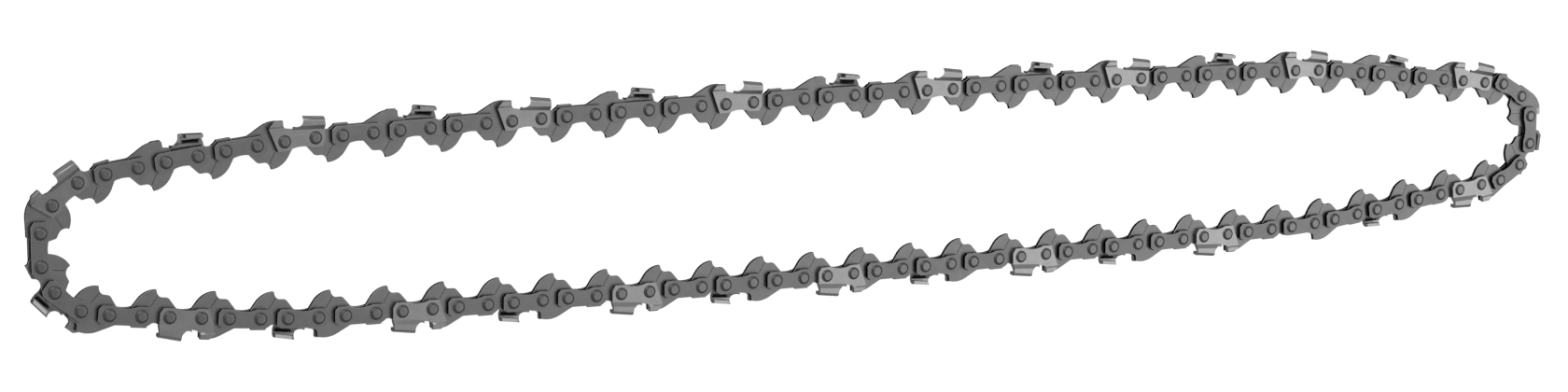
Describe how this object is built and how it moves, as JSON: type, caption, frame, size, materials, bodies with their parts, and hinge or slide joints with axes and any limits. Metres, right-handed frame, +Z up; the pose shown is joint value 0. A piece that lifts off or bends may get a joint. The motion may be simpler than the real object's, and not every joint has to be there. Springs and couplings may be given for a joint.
{
  "type": "chainsaw chain loop",
  "caption": "Closed loop of low-profile saw chain: chrome cutters, tie straps, drive links with tangs and guard humps, and formed rivets, lying flat.",
  "frame": {"origin": "centre of the loop: midway between the end rivets along X and between the two runs along Y, on the mid-plane of the drive links", "axes": "+X along the loop's long axis, from the seven-tooth end to the six-tooth end; +Y in the loop's plane, towards the top run; +Z up, out of the flat loop, parallel to the rivets"},
  "size_m": [0.5654, 0.073, 0.0058],
  "materials": {
    "cutter_plate": "satin hard chrome, brighter than the links",
    "tie_strap_steel": "dark satin tempered steel",
    "drive_link_steel": "dark satin tempered steel",
    "rivet_steel": "dark steel with turned, formed heads"
  },
  "bodies": {
    "left_end": {"left_end_cutters": "cutter_plate", "left_end_tie_straps": "tie_strap_steel", "left_end_guard_links": "drive_link_steel", "left_end_drive_links": "drive_link_steel", "left_end_rivets": "rivet_steel"},
    "top_run": {"top_run_cutters": "cutter_plate", "top_run_tie_straps": "tie_strap_steel", "top_run_guard_links": "drive_link_steel", "top_run_drive_links": "drive_link_steel", "top_run_rivets": "rivet_steel"},
    "right_end": {"right_end_cutters": "cutter_plate", "right_end_tie_straps": "tie_strap_steel", "right_end_guard_links": "drive_link_steel", "right_end_drive_links": "drive_link_steel", "right_end_rivets": "rivet_steel"},
    "bottom_run": {"bottom_run_cutters": "cutter_plate", "bottom_run_tie_straps": "tie_strap_steel", "bottom_run_guard_links": "drive_link_steel", "bottom_run_drive_links": "drive_link_steel", "bottom_run_rivets": "rivet_steel"},
    "top_left_strap_unit": {"top_left_strap_pair": "tie_strap_steel", "top_left_strap_rivets": "rivet_steel"},
    "top_left_guard": {"top_left_guard_link": "drive_link_steel"},
    "top_left_cutter_unit": {"top_left_cutter": "cutter_plate", "top_left_cutter_strap": "tie_strap_steel", "top_left_cutter_rivets": "rivet_steel"},
    "top_left_drive": {"top_left_drive_link": "drive_link_steel"},
    "top_right_strap_unit": {"top_right_strap_pair": "tie_strap_steel", "top_right_strap_rivets": "rivet_steel"},
    "top_right_guard": {"top_right_guard_link": "drive_link_steel"},
    "top_right_cutter_unit": {"top_right_cutter": "cutter_plate", "top_right_cutter_strap": "tie_strap_steel", "top_right_cutter_rivets": "rivet_steel"},
    "top_right_drive": {"top_right_drive_link": "drive_link_steel"},
    "bottom_left_strap_unit": {"bottom_left_strap_pair": "tie_strap_steel", "bottom_left_strap_rivets": "rivet_steel"},
    "bottom_left_guard": {"bottom_left_guard_link": "drive_link_steel"},
    "bottom_left_cutter_unit": {"bottom_left_cutter": "cutter_plate", "bottom_left_cutter_strap": "tie_strap_steel", "bottom_left_cutter_rivets": "rivet_steel"},
    "bottom_left_drive": {"bottom_left_drive_link": "drive_link_steel"},
    "bottom_right_strap_unit": {"bottom_right_strap_pair": "tie_strap_steel", "bottom_right_strap_rivets": "rivet_steel"},
    "bottom_right_guard": {"bottom_right_guard_link": "drive_link_steel"},
    "bottom_right_cutter_unit": {"bottom_right_cutter": "cutter_plate", "bottom_right_cutter_strap": "tie_strap_steel", "bottom_right_cutter_rivets": "rivet_steel"},
    "bottom_right_drive": {"bottom_right_drive_link": "drive_link_steel"}
  },
  "joints": [
    {"name": "top_left_pivot_1", "type": "hinge", "parent": "left_end", "child": "top_left_strap_unit", "pos_m": [-0.18274, 0.02764, 0], "axis": [0, 0, 1], "range_deg": [-10, 10]},
    {"name": "top_left_pivot_2", "type": "hinge", "parent": "top_left_strap_unit", "child": "top_left_guard", "pos_m": [-0.17281, 0.02779, 0], "axis": [0, 0, 1], "range_deg": [-10, 10]},
    {"name": "top_left_pivot_3", "type": "hinge", "parent": "top_left_guard", "child": "top_left_cutter_unit", "pos_m": [-0.16411, 0.02793, 0], "axis": [0, 0, 1], "range_deg": [-10, 10]},
    {"name": "top_left_pivot_4", "type": "hinge", "parent": "top_left_cutter_unit", "child": "top_left_drive", "pos_m": [-0.15417, 0.02808, 0], "axis": [0, 0, 1], "range_deg": [-10, 10]},
    {"name": "top_left_pivot_5", "type": "hinge", "parent": "top_left_drive", "child": "top_run", "pos_m": [-0.14547, 0.02821, 0], "axis": [0, 0, 1], "range_deg": [-10, 10]},
    {"name": "top_right_pivot_1", "type": "hinge", "parent": "top_run", "child": "top_right_guard", "pos_m": [0.12542, 0.02821, 0], "axis": [0, 0, 1], "range_deg": [-10, 10]},
    {"name": "top_right_pivot_2", "type": "hinge", "parent": "top_right_guard", "child": "top_right_cutter_unit", "pos_m": [0.13412, 0.02808, 0], "axis": [0, 0, 1], "range_deg": [-10, 10]},
    {"name": "top_right_pivot_3", "type": "hinge", "parent": "top_right_cutter_unit", "child": "top_right_drive", "pos_m": [0.14406, 0.02793, 0], "axis": [0, 0, 1], "range_deg": [-10, 10]},
    {"name": "top_right_pivot_4", "type": "hinge", "parent": "top_right_drive", "child": "top_right_strap_unit", "pos_m": [0.15276, 0.02779, 0], "axis": [0, 0, 1], "range_deg": [-10, 10]},
    {"name": "top_right_pivot_5", "type": "hinge", "parent": "top_right_strap_unit", "child": "right_end", "pos_m": [0.16269, 0.02764, 0], "axis": [0, 0, 1], "range_deg": [-10, 10]},
    {"name": "bottom_left_pivot_1", "type": "hinge", "parent": "left_end", "child": "bottom_left_strap_unit", "pos_m": [-0.18274, -0.02764, 0], "axis": [0, 0, 1], "range_deg": [-10, 10]},
    {"name": "bottom_left_pivot_2", "type": "hinge", "parent": "bottom_left_strap_unit", "child": "bottom_left_drive", "pos_m": [-0.17281, -0.02779, 0], "axis": [0, 0, 1], "range_deg": [-10, 10]},
    {"name": "bottom_left_pivot_3", "type": "hinge", "parent": "bottom_left_drive", "child": "bottom_left_cutter_unit", "pos_m": [-0.16411, -0.02793, 0], "axis": [0, 0, 1], "range_deg": [-10, 10]},
    {"name": "bottom_left_pivot_4", "type": "hinge", "parent": "bottom_left_cutter_unit", "child": "bottom_left_guard", "pos_m": [-0.15417, -0.02808, 0], "axis": [0, 0, 1], "range_deg": [-10, 10]},
    {"name": "bottom_left_pivot_5", "type": "hinge", "parent": "bottom_left_guard", "child": "bottom_run", "pos_m": [-0.14547, -0.02821, 0], "axis": [0, 0, 1], "range_deg": [-10, 10]},
    {"name": "bottom_right_pivot_1", "type": "hinge", "parent": "bottom_run", "child": "bottom_right_drive", "pos_m": [0.12542, -0.02821, 0], "axis": [0, 0, 1], "range_deg": [-10, 10]},
    {"name": "bottom_right_pivot_2", "type": "hinge", "parent": "bottom_right_drive", "child": "bottom_right_cutter_unit", "pos_m": [0.13412, -0.02808, 0], "axis": [0, 0, 1], "range_deg": [-10, 10]},
    {"name": "bottom_right_pivot_3", "type": "hinge", "parent": "bottom_right_cutter_unit", "child": "bottom_right_guard", "pos_m": [0.14406, -0.02793, 0], "axis": [0, 0, 1], "range_deg": [-10, 10]},
    {"name": "bottom_right_pivot_4", "type": "hinge", "parent": "bottom_right_guard", "child": "bottom_right_strap_unit", "pos_m": [0.15276, -0.02779, 0], "axis": [0, 0, 1], "range_deg": [-10, 10]}
  ],
  "couplings": [
    {"joint": "top_right_pivot_5", "follows": "top_left_pivot_1", "ratio": -1},
    {"joint": "bottom_left_pivot_1", "follows": "top_left_pivot_1", "ratio": 1},
    {"joint": "top_right_pivot_4", "follows": "top_left_pivot_2", "ratio": -1},
    {"joint": "bottom_left_pivot_2", "follows": "top_left_pivot_2", "ratio": 1},
    {"joint": "bottom_right_pivot_4", "follows": "top_left_pivot_2", "ratio": -1},
    {"joint": "top_right_pivot_3", "follows": "top_left_pivot_3", "ratio": -1},
    {"joint": "bottom_left_pivot_3", "follows": "top_left_pivot_3", "ratio": 1},
    {"joint": "bottom_right_pivot_3", "follows": "top_left_pivot_3", "ratio": -1},
    {"joint": "top_right_pivot_2", "follows": "top_left_pivot_4", "ratio": -1},
    {"joint": "bottom_left_pivot_4", "follows": "top_left_pivot_4", "ratio": 1},
    {"joint": "bottom_right_pivot_2", "follows": "top_left_pivot_4", "ratio": -1},
    {"joint": "top_right_pivot_1", "follows": "top_left_pivot_5", "ratio": -1},
    {"joint": "bottom_left_pivot_5", "follows": "top_left_pivot_5", "ratio": 1},
    {"joint": "bottom_right_pivot_1", "follows": "top_left_pivot_5", "ratio": -1}
  ]
}
